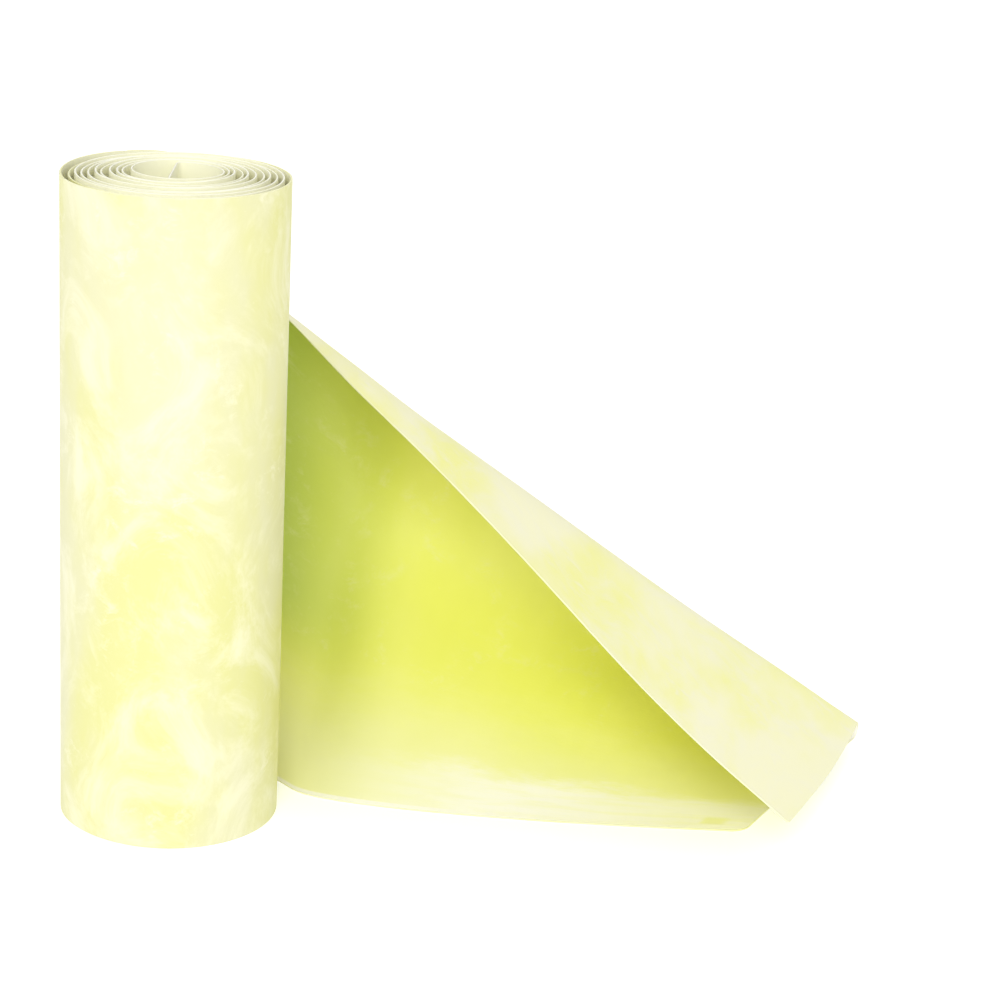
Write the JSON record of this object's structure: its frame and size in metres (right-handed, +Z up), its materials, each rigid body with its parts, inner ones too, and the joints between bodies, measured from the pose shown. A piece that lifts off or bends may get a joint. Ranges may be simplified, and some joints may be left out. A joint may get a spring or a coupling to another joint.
{
  "type": "resistance band",
  "caption": "Flat latex exercise band wound into a loose upright roll, its free end led out from behind along the table with the upper half turned over.",
  "frame": {"origin": "middle of the footprint, on the table that the roll stands on; the roll's axis is 74.3 mm to the left of it and 17 mm towards the front", "axes": "+X from the roll along its free end, +Y away from the front, +Z up along the roll's axis"},
  "size_m": [0.1994, 0.1082, 0.15],
  "materials": {
    "latex_wound": "matt latex, pale lime yellow, lightly dusted with talc",
    "latex_tail": "matt latex, lime yellow",
    "latex_turned_over": "matt latex, pale lime yellow, smeared with talc"
  },
  "bodies": {
    "roll": {"inner_end": "latex_wound", "turn_01": "latex_wound", "turn_02": "latex_wound", "turn_03": "latex_wound", "turn_04": "latex_wound", "turn_05": "latex_wound", "turn_06": "latex_wound", "turn_07": "latex_wound", "turn_08": "latex_wound", "turn_09": "latex_wound", "turn_10": "latex_wound", "turn_11": "latex_wound"},
    "loose_side": {"loose_turn_side": "latex_tail"},
    "loose_back": {"loose_turn_back": "latex_tail"},
    "tail": {"tail_root_back": "latex_tail", "tail_root_side": "latex_tail", "tail_panel_near": "latex_tail", "tail_panel_end": "latex_tail", "tail_crest_near": "latex_turned_over", "tail_crest_end": "latex_turned_over"},
    "flap": {"flap_middle": "latex_turned_over", "flap_corner": "latex_turned_over"}
  },
  "joints": [
    {"name": "peel_side", "type": "hinge", "parent": "roll", "child": "loose_side", "pos_m": [-0.09945, -0.01663, 0.075], "axis": [0, 0, 1], "range_deg": [0, 25]},
    {"name": "peel_back", "type": "hinge", "parent": "loose_side", "child": "loose_back", "pos_m": [-0.093, 0.0022, 0.075], "axis": [0, 0, 1], "range_deg": [0, 25]},
    {"name": "peel_tail", "type": "hinge", "parent": "loose_back", "child": "tail", "pos_m": [-0.07774, 0.00937, 0.075], "axis": [0, 0, 1], "range_deg": [0, 25]},
    {"name": "flap_lift", "type": "hinge", "parent": "tail", "child": "flap", "pos_m": [0.09918, 0.0125, 0.00534], "axis": [-0.8243, -0.094, 0.5583], "range_deg": [0, 120]}
  ],
  "couplings": [
    {"joint": "peel_side", "follows": "peel_tail", "ratio": 1},
    {"joint": "peel_back", "follows": "peel_tail", "ratio": 1}
  ]
}
